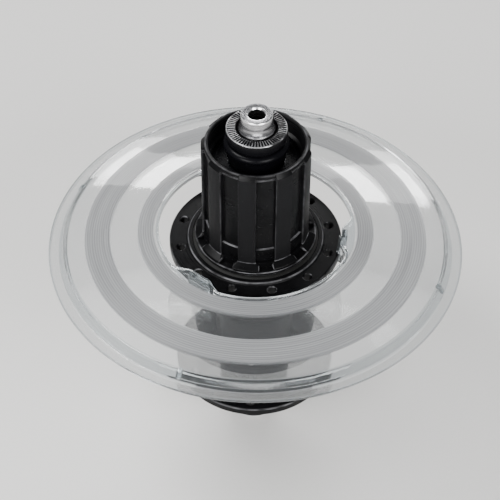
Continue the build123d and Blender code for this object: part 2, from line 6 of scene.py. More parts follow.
import bpy
import bmesh
import numpy as np
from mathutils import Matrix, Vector


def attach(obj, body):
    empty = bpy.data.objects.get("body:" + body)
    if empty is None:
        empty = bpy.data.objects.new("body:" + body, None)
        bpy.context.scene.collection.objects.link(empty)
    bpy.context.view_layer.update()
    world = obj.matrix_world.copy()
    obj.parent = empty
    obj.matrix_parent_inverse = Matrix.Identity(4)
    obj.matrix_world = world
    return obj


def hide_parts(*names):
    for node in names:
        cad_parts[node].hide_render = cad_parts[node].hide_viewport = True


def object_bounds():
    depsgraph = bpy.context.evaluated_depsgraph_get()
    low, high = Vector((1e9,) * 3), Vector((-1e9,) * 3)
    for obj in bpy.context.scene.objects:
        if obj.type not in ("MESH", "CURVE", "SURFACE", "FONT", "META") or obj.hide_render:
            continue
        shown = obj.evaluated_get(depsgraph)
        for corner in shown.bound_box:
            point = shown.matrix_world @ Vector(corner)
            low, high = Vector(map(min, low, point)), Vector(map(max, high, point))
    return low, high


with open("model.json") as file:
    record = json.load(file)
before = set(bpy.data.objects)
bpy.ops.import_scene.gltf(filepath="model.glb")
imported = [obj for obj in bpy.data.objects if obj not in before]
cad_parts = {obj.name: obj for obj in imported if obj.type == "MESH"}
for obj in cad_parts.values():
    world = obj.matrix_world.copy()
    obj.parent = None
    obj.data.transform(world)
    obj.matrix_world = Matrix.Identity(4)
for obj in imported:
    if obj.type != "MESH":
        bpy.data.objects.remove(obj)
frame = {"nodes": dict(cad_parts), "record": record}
cad_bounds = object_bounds()

MM = 0.001

# Shell, in millimetres: each flange's hole circle, first hole's angle and upper face
DRIVE_HOLES = (24.8, 12.5, 17.7)
LEFT_HOLES = (24.0, 27.5, -38.9)
HOLE_COUNT = 12
HOLE_PITCH = 360 / HOLE_COUNT

# Camera and stage: places and the floor's size in metres, the lens in millimetres
CAMERA_PLACE = (0.0, -0.3641, 0.3817)
CAMERA_AIM = (0.0, 0.0, 15.7 * MM)
CAMERA_LENS = 112.7
CAMERA_SHIFT = (-0.011, -0.0196)
CAMERA_ROLL = math.radians(0.61)
FLOOR_SIZE = 6.0
LIGHT_AIM = (0, 0, 0.02)
SKY_COLOUR = (0.93, 0.94, 0.96, 1.0)
SKY_STRENGTH = 0.26


# ---------------------------------------------------------------- node helpers

class Shader:
    """A short way to write one node material around a single principled shader."""

    def __init__(self, name, colour, roughness, metallic=0.0, **sockets):
        self.material = bpy.data.materials.new(name)
        self.material.use_nodes = True
        self.tree = self.material.node_tree
        self.principled = self.tree.nodes["Principled BSDF"]
        self.set("Base Color", (*colour, 1.0))
        self.set("Roughness", roughness)
        self.set("Metallic", metallic)
        for socket, value in sockets.items():
            self.set(socket.replace("_", " "), value)
        self.coordinates = self.tree.nodes.new("ShaderNodeTexCoord").outputs["Object"]

    def set(self, socket, value):
        """A constant on one of the shader's own sockets."""
        self.principled.inputs[socket].default_value = value

    def node(self, kind, **values):
        """A new node with its properties set."""
        node = self.tree.nodes.new(kind)
        for key, value in values.items():
            setattr(node, key, value)
        return node

    def link(self, source, target):
        """Joins an output to an input."""
        self.tree.links.new(source, target)

    def math(self, operation, first, second=None):
        """The result of one operation on sockets or constants."""
        node = self.node("ShaderNodeMath", operation=operation)
        for index, value in enumerate((first, second)):
            if value is None:
                continue
            if isinstance(value, (int, float)):
                node.inputs[index].default_value = value
            else:
                self.link(value, node.inputs[index])
        return node.outputs[0]

    def axis_parts(self):
        """The distance from the hub's axis, the height and the angle, in metres and radians."""
        split = self.node("ShaderNodeSeparateXYZ")
        self.link(self.coordinates, split.inputs[0])
        x, y, z = split.outputs
        square = self.math("ADD", self.math("MULTIPLY", x, x), self.math("MULTIPLY", y, y))
        return self.math("SQRT", square), z, self.math("ARCTAN2", y, x)

    def vector(self, x, y, z):
        """A vector from three sockets or constants."""
        node = self.node("ShaderNodeCombineXYZ")
        for index, value in enumerate((x, y, z)):
            if isinstance(value, (int, float)):
                node.inputs[index].default_value = value
            else:
                self.link(value, node.inputs[index])
        return node.outputs[0]

    def noise(self, scale, detail=3.0, roughness=0.5, vector=None):
        """Noise over the object, or over the vector that is given."""
        node = self.node("ShaderNodeTexNoise")
        node.inputs["Scale"].default_value = scale
        node.inputs["Detail"].default_value = detail
        node.inputs["Roughness"].default_value = roughness
        self.link(vector or self.coordinates, node.inputs["Vector"])
        return node.outputs["Fac"]

    def ramp(self, value, *stops):
        """A colour ramp through stops of position and colour."""
        node = self.node("ShaderNodeValToRGB")
        elements = node.color_ramp.elements
        while len(elements) < len(stops):
            elements.new(0.5)
        for element, (position, colour) in zip(elements, stops):
            element.position = position
            element.color = (*colour, 1.0)
        self.link(value, node.inputs[0])
        return node.outputs["Color"]

    def spread(self, value, low, high, lowest=0.0):
        """Maps a value that runs from the lowest to one onto the range from low to high."""
        node = self.node("ShaderNodeMapRange")
        node.inputs["From Min"].default_value = lowest
        node.inputs["To Min"].default_value = low
        node.inputs["To Max"].default_value = high
        self.link(value, node.inputs["Value"])
        return node.outputs["Result"]

    def mix(self, factor, first, second):
        """A colour between two others."""
        node = self.node("ShaderNodeMix", data_type="RGBA")
        self.link(factor, node.inputs["Factor"])
        for name, value in (("A", first), ("B", second)):
            socket = [s for s in node.inputs if s.name == name and s.type == "RGBA"][0]
            if isinstance(value, tuple):
                socket.default_value = (*value, 1.0)
            else:
                self.link(value, socket)
        return [s for s in node.outputs if s.type == "RGBA"][0]

    def colour(self, value):
        """Drives the base colour."""
        self.link(value, self.principled.inputs["Base Color"])

    def rough(self, value):
        """Drives the roughness."""
        self.link(value, self.principled.inputs["Roughness"])

    def bump(self, height, strength, distance):
        """Drives the normal by a height."""
        node = self.node("ShaderNodeBump")
        node.inputs["Strength"].default_value = strength
        node.inputs["Distance"].default_value = distance
        self.link(height, node.inputs["Height"])
        self.link(node.outputs["Normal"], self.principled.inputs["Normal"])

    def above(self, value, edge, soft=0.1):
        """Nought below an edge and one above it, with a soft step between."""
        node = self.node("ShaderNodeMapRange")
        node.inputs["From Min"].default_value = edge - soft / 2
        node.inputs["From Max"].default_value = edge + soft / 2
        self.link(value, node.inputs["Value"])
        return node.outputs["Result"]

    def inside(self, value, low, high, soft=0.1):
        """One between two values and nought outside them."""
        over = self.math("SUBTRACT", 1.0, self.above(value, high, soft))
        return self.math("MULTIPLY", self.above(value, low, soft), over)

    def product(self, *values):
        """The values multiplied together."""
        result = values[0]
        for value in values[1:]:
            result = self.math("MULTIPLY", result, value)
        return result

    def largest(self, *values):
        """The largest of the values."""
        result = values[0]
        for value in values[1:]:
            result = self.math("MAXIMUM", result, value)
        return result

    def from_spacing(self, angle, first, spacing):
        """The distance in degrees from the nearest of evenly spaced angles about the axis."""
        turns = self.math("DIVIDE", self.math("SUBTRACT", angle, first - 720), spacing)
        share = self.math("FRACT", self.math("ADD", turns, 0.5))
        return self.math("MULTIPLY", self.math("ABSOLUTE", self.math("SUBTRACT", share, 0.5)), spacing)

    def axis_millimetres(self):
        """The distance from the axis and the height in millimetres, and the angle in degrees."""
        radius, height, angle = self.axis_parts()
        return (self.math("MULTIPLY", radius, 1 / MM), self.math("MULTIPLY", height, 1 / MM),
                self.math("MULTIPLY", angle, 180 / math.pi))

    def turning_marks(self, pitch):
        """Fine grooves about the axis, as a lathe tool leaves them."""
        radius, height, angle = self.axis_parts()
        line = self.vector(
            self.math("MULTIPLY", radius, 1 / pitch),
            self.math("MULTIPLY", height, 1 / pitch),
            self.math("MULTIPLY", angle, 0.35),
        )
        return self.noise(1.0, detail=2.0, vector=line)


# ---------------------------------------------------------------- mesh helpers

SHARP_ANGLE = math.radians(38)
FINE_TURN = 256                # steps around a turned piece


def rounded(points, fillet=0.15, steps=4):
    """A closed (radius, height) outline whose real corners are rounded with small arcs."""
    result = []
    count = len(points)
    for index in range(count):
        corner = Vector(points[index][:2])
        before = Vector(points[index - 1][:2]) - corner
        after = Vector(points[(index + 1) % count][:2]) - corner
        radius = points[index][2] if len(points[index]) > 2 else fillet
        opening = before.angle(after)
        if radius == 0 or math.pi - opening < math.radians(14):
            result.append(tuple(corner))
            continue
        reach = min(radius / math.tan(opening / 2), 0.42 * before.length, 0.42 * after.length)
        start = corner + before.normalized() * reach
        end = corner + after.normalized() * reach
        for step in range(steps + 1):
            t = step / steps
            result.append(tuple((1 - t) ** 2 * start + 2 * t * (1 - t) * corner + t ** 2 * end))
    return result


def arc(start, end, bulge, steps=10):
    """Points of a smooth bow between two (radius, height) points, without its ends."""
    first, last = Vector(start), Vector(end)
    across = Vector((last.y - first.y, first.x - last.x)) * bulge
    middle = (first + last) / 2 + across
    points = []
    for step in range(1, steps):
        t = step / steps
        place = (1 - t) ** 2 * first + 2 * t * (1 - t) * middle + t ** 2 * last
        points.append((place.x, place.y, 0))
    return points


def build_mesh(name, vertices, faces):
    """A mesh object in metres from vertices in millimetres."""
    mesh = bpy.data.meshes.new(name)
    mesh.from_pydata([tuple(v) for v in np.asarray(vertices) * MM], [], faces)
    mesh.validate()
    piece = bpy.data.objects.new(name, mesh)
    bpy.context.collection.objects.link(piece)
    return piece


def finish_mesh(piece, material, slot, body, *nodes):
    """Outward normals, smooth shading with hard edges, a material and its body. The slot argument is not
    used.
    """
    work = bmesh.new()
    work.from_mesh(piece.data)
    bmesh.ops.remove_doubles(work, verts=work.verts, dist=1e-7)
    bmesh.ops.recalc_face_normals(work, faces=work.faces)
    for face in work.faces:
        face.smooth = True
    for edge in work.edges:
        if len(edge.link_faces) == 2 and edge.calc_face_angle(0) > SHARP_ANGLE:
            edge.smooth = False
    work.to_mesh(piece.data)
    work.free()
    weighted = piece.modifiers.new("even_normals", "WEIGHTED_NORMAL")
    weighted.keep_sharp = True
    weighted.weight = 90
    piece.data.materials.clear()
    piece.data.materials.append(material)
    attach(piece, body)
    if nodes:
        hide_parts(*nodes)


def ring_faces(rings, steps):
    """The quads between closed rings of equal step count, where the last ring meets the first."""
    faces = []
    for ring in range(rings):
        above = (ring + 1) % rings
        for step in range(steps):
            across = (step + 1) % steps
            faces.append((ring * steps + step, ring * steps + across,
                          above * steps + across, above * steps + step))
    return faces


def turned(name, outline, place=None, angles=None):
    """A solid of revolution; place(radius, height, angles) may shift each ring's radius and height."""
    if angles is None:
        angles = np.linspace(0, 2 * np.pi, FINE_TURN, endpoint=False)
    vertices = []
    for point in outline:
        radius, height = np.full(len(angles), point[0]), np.full(len(angles), point[1])
        if place:
            radius, height = place(radius, height, angles)
        vertices.append(np.stack([radius * np.cos(angles), radius * np.sin(angles), height], axis=1))
    return build_mesh(name, np.concatenate(vertices), ring_faces(len(outline), len(angles)))


def wedge(name, outline, middle, width, steps=24):
    """A rounded ring sector: an outline swept over an angle about the axis, closed at both ends."""
    angles = np.radians(np.linspace(middle - width / 2, middle + width / 2, steps))
    centre = np.mean([point[:2] for point in outline], axis=0)
    vertices = []
    for index, angle in enumerate(angles):
        edge = min(index, steps - 1 - index)
        shrink = (0.80, 0.95, 1.0)[min(edge, 2)]
        for point in outline:
            radius, height = centre + (np.array(point[:2]) - centre) * shrink
            vertices.append((radius * math.cos(angle), radius * math.sin(angle), height))
    count = len(outline)
    faces = [tuple(range(count)), tuple(range((steps - 1) * count, steps * count))]
    for step in range(steps - 1):
        for point in range(count):
            following = (point + 1) % count
            faces.append((step * count + point, step * count + following,
                          (step + 1) * count + following, (step + 1) * count + point))
    return build_mesh(name, vertices, faces)


def angle_from(angles, middle):
    """The signed distance in degrees from each angle to a middle angle."""
    return (np.degrees(angles) - middle + 180) % 360 - 180


def soft_box_mask(distance, half_width, soft):
    """One inside a half width, nought outside it, with a smooth edge."""
    t = np.clip((half_width + soft / 2 - np.abs(distance)) / soft, 0, 1)
    return t * t * (3 - 2 * t)


# ---------------------------------------------------------------- turned pieces

def mirrored(outline):
    """The same outline on the other side of the hub's middle plane."""
    return [(point[0], -point[1], *point[2:]) for point in outline]


def make_axle(material):
    """The hollow axle with its lipped ends, flared roots, seats and journals."""
    half = [
        (2.6, 0.0, 0), (2.6, 69.9, 0.3), (3.05, 70.42, 0.12), (4.75, 70.5, 0.2), (5.0, 70.2, 0.15),
        (5.0, 67.3, 0), *arc((5.0, 67.3), (5.98, 64.9), 0.12), (6.0, 64.7, 0),
        (6.0, 51.0, 0.1), (7.46, 50.5, 0.2), (7.46, -4.5, 0), (9.0, -4.5, 0.2),
    ]
    low = [
        (9.0, -44.0, 0.2), (7.46, -44.0, 0), (7.46, -50.5, 0.2), (6.0, -51.0, 0.1), (6.0, -64.7, 0),
        (5.98, -64.9, 0), *arc((5.98, -64.9), (5.0, -67.3), 0.12), (5.0, -67.3, 0),
        (5.0, -70.2, 0.15), (4.75, -70.5, 0.2), (3.05, -70.42, 0.12), (2.6, -69.9, 0.3),
    ]
    piece = turned("axle_turned", rounded(half + low))
    finish_mesh(piece, material, "silver_alloy", "axle_assembly", "axle")


def make_end_caps(material):
    """A spacer with a rounded dust flange at each end."""
    outline = [
        (6.05, 60.4, 0.1), (6.05, 51.0, 0), (8.9, 51.0, 0.1), (8.9, 57.4, 0.4),
        *arc((8.9, 57.4), (10.38, 58.5), 0.16), (10.38, 58.5, 0), (10.38, 59.2, 0),
        *arc((10.38, 59.2), (9.2, 60.38), 0.2), (9.2, 60.4, 0),
    ]
    for side, shape in (("drive", outline), ("left", mirrored(outline))):
        piece = turned(f"{side}_end_cap_turned", rounded(shape))
        finish_mesh(piece, material, "black_steel", "axle_assembly", f"{side}_end_cap")


NUT_FACE = 65.0
SERRATIONS = 60
SERRATION_DEPTH = 0.38


def make_locknuts(material):
    """Locknuts whose faces carry a ring of radial serrations."""
    face_rings = [(radius, NUT_FACE, 0) for radius in np.linspace(9.1, 6.75, 12)]
    outline = rounded([
        (6.05, 60.4, 0.1), (8.6, 60.4, 0.1), (8.6, 61.2, 0.2), (9.6, 61.8, 0.3), (9.6, 64.75, 0.1),
        (9.35, 64.99, 0.1), *face_rings, (6.55, NUT_FACE, 0.1), (6.55, 63.8, 0.1), (6.05, 63.3, 0.1),
    ])
    angles = np.linspace(0, 2 * np.pi, SERRATIONS * 12, endpoint=False)

    def bite(radius, height, turn):
        tooth = np.abs((turn * SERRATIONS / (2 * np.pi)) % 1 - 0.5) * 2
        cut = np.clip((tooth - 0.35) / 0.65, 0, 1)
        inside = np.clip((radius - 6.8) / 0.15, 0, 1) * np.clip((9.05 - radius) / 0.25, 0, 1)
        on_face = np.abs(height - NUT_FACE) < 0.001
        return radius, height - np.where(on_face, cut * inside * SERRATION_DEPTH, 0)

    def bite_low(radius, height, turn):
        radius, lifted = bite(radius, -height, turn)
        return radius, -lifted

    piece = turned("drive_locknut_serrated", outline, bite, angles)
    finish_mesh(piece, material, "black_steel", "axle_assembly", "drive_locknut")
    piece = turned("left_locknut_serrated", mirrored(outline), bite_low, angles)
    finish_mesh(piece, material, "black_steel", "axle_assembly", "left_locknut")


HOLE_RADIUS = 1.25
HOLE_SINK = 0.35
FLANGE = 3.2


def spoke_hole_cutter(circle, first_angle, top):
    """The countersunk holes of one flange, as a single cutting mesh."""
    profile = [
        (top + 0.5, HOLE_RADIUS + HOLE_SINK + 0.5), (top - HOLE_SINK, HOLE_RADIUS),
        (top - FLANGE + HOLE_SINK, HOLE_RADIUS), (top - FLANGE - 0.5, HOLE_RADIUS + HOLE_SINK + 0.5),
    ]
    steps = 32
    vertices, faces = [], []
    for hole in range(HOLE_COUNT):
        turn = math.radians(first_angle + hole * HOLE_PITCH)
        centre = (circle * math.cos(turn), circle * math.sin(turn))
        base = len(vertices)
        for height, radius in profile:
            for step in range(steps):
                around = 2 * math.pi * step / steps
                x = centre[0] + radius * math.cos(around)
                y = centre[1] + radius * math.sin(around)
                vertices.append((x, y, height))
        for ring in range(len(profile) - 1):
            for step in range(steps):
                across = (step + 1) % steps
                low, high = base + ring * steps, base + (ring + 1) * steps
                faces.append((low + step, high + step, high + across, low + across))
        end = base + (len(profile) - 1) * steps
        faces.append(tuple(base + step for step in range(steps)))
        faces.append(tuple(end + step for step in reversed(range(steps))))
    return build_mesh("cutter", vertices, faces)


def cut_with(piece, cutter):
    """Applies a boolean difference and removes the cutter."""
    boolean = piece.modifiers.new("holes", "BOOLEAN")
    boolean.operation = "DIFFERENCE"
    boolean.solver = "EXACT"
    boolean.object = cutter
    graph = bpy.context.evaluated_depsgraph_get()
    shape = bpy.data.meshes.new_from_object(piece.evaluated_get(graph))
    piece.modifiers.clear()
    piece.data = shape
    bpy.data.objects.remove(cutter)


def make_hub_shell(material):
    """The shell: boss, drilled flanges, tapered drum and waist, with its bearing seats."""
    outline = rounded([
        (20.6, 18.7, 0.2), (21.9, 18.7, 0.2), (22.3, 18.3, 0.2),
        *arc((22.3, 18.3), (22.9, 17.7), 0.2, 5),
        (27.8, 17.7, 0.25), (28.3, 17.2, 0.25), (28.3, 15.0, 0.25), (27.8, 14.5, 0.25), (23.2, 14.5, 0),
        *arc((23.2, 14.5), (22.4, 13.6), 0.2, 5), (22.3, 3.2, 0),
        *arc((22.3, 3.2), (17.2, -4.5), -0.22, 14), (17.2, -4.5, 0),
        *arc((17.2, -4.5), (13.2, -13.0), 0.15, 12),
        (13.2, -13.0, 0), (13.2, -31.0, 0), *arc((13.2, -31.0), (17.5, -38.9), 0.22, 14),
        (17.5, -38.9, 0), (27.0, -38.9, 0.25), (27.5, -39.4, 0.25), (27.5, -41.6, 0.25),
        (27.0, -42.1, 0.25),
        (20.0, -42.1, 0), *arc((20.0, -42.1), (18.6, -43.5), 0.2, 5), (18.5, -43.6, 0),
        (17.0, -53.5, 0.2), (16.5, -54.0, 0.2), (14.0, -54.0, 0.15), (14.0, -44.0, 0), (12.0, -44.0, 0.1),
        (12.0, -42.5, 0), (10.6, -41.0, 0), (10.6, -7.5, 0), (12.0, -6.0, 0), (12.0, -4.5, 0.1),
        (14.0, -4.5, 0), (14.0, 4.0, 0.15), (20.6, 4.0, 0.1),
    ])
    piece = turned("hub_shell_turned", outline)
    cut_with(piece, spoke_hole_cutter(*DRIVE_HOLES))
    cut_with(piece, spoke_hole_cutter(*LEFT_HOLES))
    finish_mesh(piece, material, "shell_black", "hub_shell_assembly", "hub_shell")


# ---------------------------------------------------------------- freehub body

LOBE_R, VALLEY_R, COLLAR_R = 17.4, 15.9, 19.8
RIM_Z, FOOT_TOP, FOOT_EDGE, COLLAR_TOP, COLLAR_LOW = 59.0, 22.7, 21.2, 20.4, 19.1
LOBE_COUNT = 9
LOBE_PITCH = 360 / LOBE_COUNT
FIRST_LOBE = -99.3
LOBE_HALF = 9.5
KEY_LOBE = 5                   # one narrow spline keys the sprockets
KEY_LOBE_HALF = 6.5
LEDGE_Z = 27.7
RIDGE_LOW, RIDGE_TOP, RIM_LEDGE = 56.45, 57.05, 57.8
CARRIER_R = 16.2
POCKET_LOW, POCKET_TOP = 6.9, 13.1
POCKET_MIDDLE, POCKET_HALF_WIDTH, POCKET_FLOOR_R = -12.5, 19.5, 12.65
PAWL_PIVOTS = (0, 120, 240)


def freehub_radius(height, angles):
    """The freehub's outer radius at one height for every angle: valleys, splines, feet and collar."""
    ring = VALLEY_R
    if RIDGE_LOW < height < RIDGE_TOP:
        ring = 16.22
    if height > RIM_LEDGE:
        ring = 16.5
    if height < LEDGE_Z:
        ring = 16.45
    if height < FOOT_TOP:
        ring = 17.3
    if height < COLLAR_TOP:
        ring = COLLAR_R
    ring = min(ring, 16.15 + max(0.0, RIM_Z - height) * 0.9)
    radius = np.full(len(angles), ring)
    spline = min(LOBE_R, 16.35 + max(0.0, RIM_Z - height) * 0.85)
    for lobe in range(LOBE_COUNT):
        distance = angle_from(angles, FIRST_LOBE + lobe * LOBE_PITCH)
        half = KEY_LOBE_HALF if lobe == KEY_LOBE else LOBE_HALF
        if height >= FOOT_TOP - 0.3:
            mask = soft_box_mask(distance, half, 0.7)
            radius = np.maximum(radius, ring + (spline - ring) * mask)
        if COLLAR_TOP <= height < FOOT_TOP:
            rise = np.clip((FOOT_TOP - height) / (FOOT_TOP - FOOT_EDGE), 0, 1)
            foot = LOBE_R + (COLLAR_R - 0.15 - LOBE_R) * rise
            widening = min(1.0, (FOOT_TOP - height) / 0.8)
            narrowing = max(0.0, (FOOT_EDGE + 0.1 - height) / 0.9)
            foot_half = LOBE_HALF + 3.8 * widening - 2.6 * narrowing
            mask = soft_box_mask(distance, foot_half, 0.7)
            radius = np.maximum(radius, ring + (foot - ring) * mask)
    return radius


def freehub_heights():
    """Heights from the collar's top to the rim, close together wherever the shape steps."""
    steps = [COLLAR_TOP, LEDGE_Z, RIDGE_LOW, RIDGE_TOP, RIM_LEDGE, FOOT_TOP, FOOT_TOP - 0.3]
    heights = set(np.linspace(COLLAR_TOP, FOOT_TOP, 14)) | set(np.linspace(FOOT_TOP, RIM_Z, 30))
    heights |= set(np.linspace(57.2, RIM_Z, 12))
    for step in steps:
        heights |= {step - 0.06, step - 0.001, step + 0.001, step + 0.06}
    return sorted(h for h in heights if COLLAR_TOP + 0.001 <= h <= RIM_Z)


def freehub_angles():
    """Angles around the freehub, close together at the sides of every spline and foot."""
    offsets = set(np.linspace(-LOBE_PITCH / 2, LOBE_PITCH / 2, 16)[:-1])
    for edge in (KEY_LOBE_HALF, LOBE_HALF):
        for side in (-1, 1):
            offsets |= {side * edge + shift for shift in np.linspace(-0.5, 0.5, 5)}
    offsets |= {side * shift for side in (-1, 1) for shift in np.linspace(10.2, 13.8, 11)}
    offsets = sorted({round(float(offset), 3) for offset in offsets})
    middles = [FIRST_LOBE + lobe * LOBE_PITCH for lobe in range(LOBE_COUNT)]
    return np.radians([middle + offset for middle in middles for offset in offsets])


def carrier_radius(angles):
    """The carrier's radius at the level of the pawls: round, with three pockets."""
    radius = np.full(len(angles), CARRIER_R)
    for pivot in PAWL_PIVOTS:
        in_pocket = np.abs(angle_from(angles, pivot + POCKET_MIDDLE)) < POCKET_HALF_WIDTH
        radius[in_pocket] = POCKET_FLOOR_R
    return radius


def with_pocket_rings(outline):
    """Adds the rings of the pawl pockets to the carrier's outer side."""
    last = max(index for index, (radius, height) in enumerate(outline)
               if abs(height - POCKET_LOW) < 0.2 and radius > CARRIER_R - 0.2)
    pockets = [("pocket", height) for height in np.linspace(POCKET_LOW, POCKET_TOP, 4)]
    return outline[:last + 1] + pockets + outline[last + 1:]


def make_freehub(material):
    """The splined driver with its threaded mouth, seats and carrier."""
    thread = [(15.2 if turn % 2 else 14.72, 58.2 - 0.5 * turn, 0) for turn in range(1, 10)]
    inside = with_pocket_rings(rounded([
        (15.75, RIM_Z, 0), (15.25, RIM_Z - 0.02, 0.1), (14.75, 58.45, 0.1), *thread,
        (14.7, 53.4, 0.1), (14.0, 53.0, 0.1), (14.0, 52.15, 0), (14.6, 52.15, 0), (14.6, 51.05, 0),
        (14.0, 51.05, 0), (14.0, 44.0, 0), (12.6, 44.0, 0), (12.6, 15.0, 0), (10.9, 14.0, 0),
        (10.9, 10.0, 0), (12.0, 10.0, 0), (12.0, 4.5, 0.1), (CARRIER_R, 4.5, 0.1),
        (CARRIER_R, POCKET_LOW, 0), (CARRIER_R, POCKET_TOP, 0), (CARRIER_R, COLLAR_LOW, 0.1),
        (COLLAR_R - 0.4, COLLAR_LOW, 0.15), (COLLAR_R, COLLAR_LOW + 0.4, 0.15),
        (COLLAR_R, COLLAR_TOP - 0.1, 0),
    ], steps=2))
    outside = [("splines", height) for height in freehub_heights()]
    angles = freehub_angles()
    vertices = []
    for radius, height in inside + outside:
        if radius == "splines":
            ring = freehub_radius(height, angles)
        elif radius == "pocket":
            ring = carrier_radius(angles)
        else:
            ring = np.full(len(angles), radius)
        level = np.full(len(angles), height)
        vertices.append(np.stack([ring * np.cos(angles), ring * np.sin(angles), level], axis=1))
    faces = ring_faces(len(inside) + len(outside), len(angles))
    piece = build_mesh("freehub_body_splined", np.concatenate(vertices), faces)
    finish_mesh(piece, material, "freehub_black", "freehub_assembly", "freehub_body")


# ---------------------------------------------------------------- spoke protector

GUARD_R, GUARD_HOLE_R = 67.96, 31.7
OUTER_BAND = (47.6, 55.9)      # the frosted bands' inner and outer radii
INNER_BAND = (33.3, 38.6)
CLIPS = (-8.0, 112.0, 232.0)
CLIP_WIDTH = 16.5
BRIDGES = (-111.0, -21.0, 69.0, 159.0)
BRIDGE_WIDTH = 1.5
TONGUE_REACH = 3.5
BLEND_R = 34.5
GROOVE_PITCH = 0.76
GROOVE_DEPTH = 0.07


def guard_top():
    """The upper side's outline from the rim to the hole, with grooves over the two frosted bands."""
    plain = [(64.7, 15.7), (63.9, 16.2), (63.1, 18.0), (62.3, 18.55), (55.9, 19.35), (47.6, 20.5),
             (38.6, 21.7), (33.3, 22.1)]
    radii = [point[0] for point in reversed(plain)]
    heights = [point[1] for point in reversed(plain)]
    points = [(64.7, 15.7, 0.5), (63.9, 16.2, 0.3), (63.1, 18.0, 0.5), (62.3, 18.55, 0.5)]
    for inner, outer in (OUTER_BAND, INNER_BAND):
        for index, radius in enumerate(np.arange(outer, inner, -GROOVE_PITCH / 2)):
            dip = GROOVE_DEPTH if index % 2 else 0.0
            points.append((float(radius), float(np.interp(radius, radii, heights)) - dip, 0))
    return points


def make_spoke_protector(material):
    """The clear disc: flat rim, step with four bridges, grooved bands, beaded hole and three clips."""
    top = guard_top()
    under = [(64.5, 14.4, 0.4), (63.0, 14.9, 0.4), (62.0, 16.9, 0.4), (61.5, 17.3, 0.4), (55.9, 18.05, 0),
             (47.6, 19.2, 0), (38.6, 20.4, 0), (33.3, 20.9, 0)]
    outline = [(GUARD_R - 0.1, 15.66, 0.15), *top, (32.6, 22.2, 0.2), (32.2, 22.42, 0.2),
               (GUARD_HOLE_R, 22.3, 0.3), (GUARD_HOLE_R, 20.95, 0.3), *reversed(under),
               (GUARD_R - 0.2, 14.62, 0.2), (GUARD_R, 14.9, 0.15), (GUARD_R, 15.4, 0.15)]

    def shape(radius, height, turn):
        reach = np.zeros(len(turn))
        for clip in CLIPS:
            reach = np.maximum(reach, soft_box_mask(angle_from(turn, clip), 12.0, 12.0))
        hole = GUARD_HOLE_R - TONGUE_REACH * reach
        stretch = (BLEND_R - hole) / (BLEND_R - GUARD_HOLE_R)
        inner = BLEND_R - (BLEND_R - radius) * stretch
        return np.where(radius < BLEND_R, inner, radius), height

    angles = np.linspace(0, 2 * np.pi, 480, endpoint=False)
    disc = turned("spoke_protector_disc", rounded(outline), shape, angles)
    finish_mesh(disc, material, "clear_plastic", "hub_shell_assembly", "spoke_protector")
    hook = rounded([
        (28.6, 20.93, 0.1), (29.9, 20.93, 0.1), (29.9, 13.5, 0.5), (29.2, 13.05, 0.4), (27.7, 13.6, 0.3),
        (27.7, 14.25, 0.15), (28.6, 14.25, 0.1), (28.6, 17.72, 0.05), (27.3, 17.72, 0.2), (27.3, 18.8, 0.2),
        (28.6, 19.0, 0.3),
    ])
    for number, clip in enumerate(CLIPS):
        piece = wedge(f"guard_hook_{number + 1}", hook, clip, CLIP_WIDTH)
        finish_mesh(piece, material, "clear_plastic", "hub_shell_assembly")
    bridge = rounded([(61.6, 17.9, 0.2), (64.4, 15.72, 0.3), (64.5, 16.6, 0.4), (63.4, 18.3, 0.4),
                      (61.8, 18.85, 0.3)])
    for number, angle in enumerate(BRIDGES):
        piece = wedge(f"guard_bridge_{number + 1}", bridge, angle, BRIDGE_WIDTH, 9)
        finish_mesh(piece, material, "clear_plastic", "hub_shell_assembly")


# ---------------------------------------------------------------- materials

BLACK_DYE = (0.0022, 0.0022, 0.0025)
# colour of the painted highlight lines along the anodised parts' edges
PAINTED_EDGE_HIGHLIGHT = (0.20, 0.20, 0.21)
SATIN_BLACK = (0.010, 0.010, 0.011)
DUST = (0.42, 0.41, 0.39)
BARE_BLACK = (0.003, 0.003, 0.004)


def anodised(name, roughness, dust, edges):
    """Black anodised alloy: turned, then dyed, with fine tool marks, faint dust and painted highlight lines
    along its edges.
    """
    shader = Shader(name, BLACK_DYE, roughness, metallic=0.0, Specular_IOR_Level=0.09)
    marks = shader.turning_marks(0.35 * MM)
    cloud = shader.noise(140.0, detail=5.0, roughness=0.6)
    specks = shader.noise(1500.0, detail=2.0, roughness=0.7)
    speck_mask = shader.spread(shader.math("GREATER_THAN", specks, 0.72), 0.0, dust)
    lighter = tuple(c * 1.7 + 0.001 for c in BLACK_DYE)
    patches = shader.ramp(cloud, (0.35, (0, 0, 0)), (0.75, (1, 1, 1)))
    body = shader.mix(speck_mask, shader.mix(patches, BLACK_DYE, lighter), DUST)
    rough = shader.spread(shader.math("ADD", cloud, marks), roughness - 0.08, roughness + 0.16)
    # edges(shader) gives the mask of painted highlight lines and the satin spline tops
    painted_highlight, satin = edges(shader)
    # noise breaks the painted highlight lines into uneven pieces
    highlight_breakup_noise = shader.noise(260.0, detail=3.0)
    patchy_mask = shader.ramp(highlight_breakup_noise, (0.34, (0.12, 0.12, 0.12)), (0.66, (1, 1, 1)))
    body = shader.mix(shader.math("MULTIPLY", painted_highlight, patchy_mask), body, PAINTED_EDGE_HIGHLIGHT)
    if satin is not None:
        body = shader.mix(shader.math("MULTIPLY", satin, 0.5), body, SATIN_BLACK)
        rough = shader.math("ADD", rough, shader.math("MULTIPLY", satin, 0.16))
    shader.colour(body)
    shader.rough(rough)
    shader.bump(marks, 0.22, 0.02 * MM)
    return shader.material


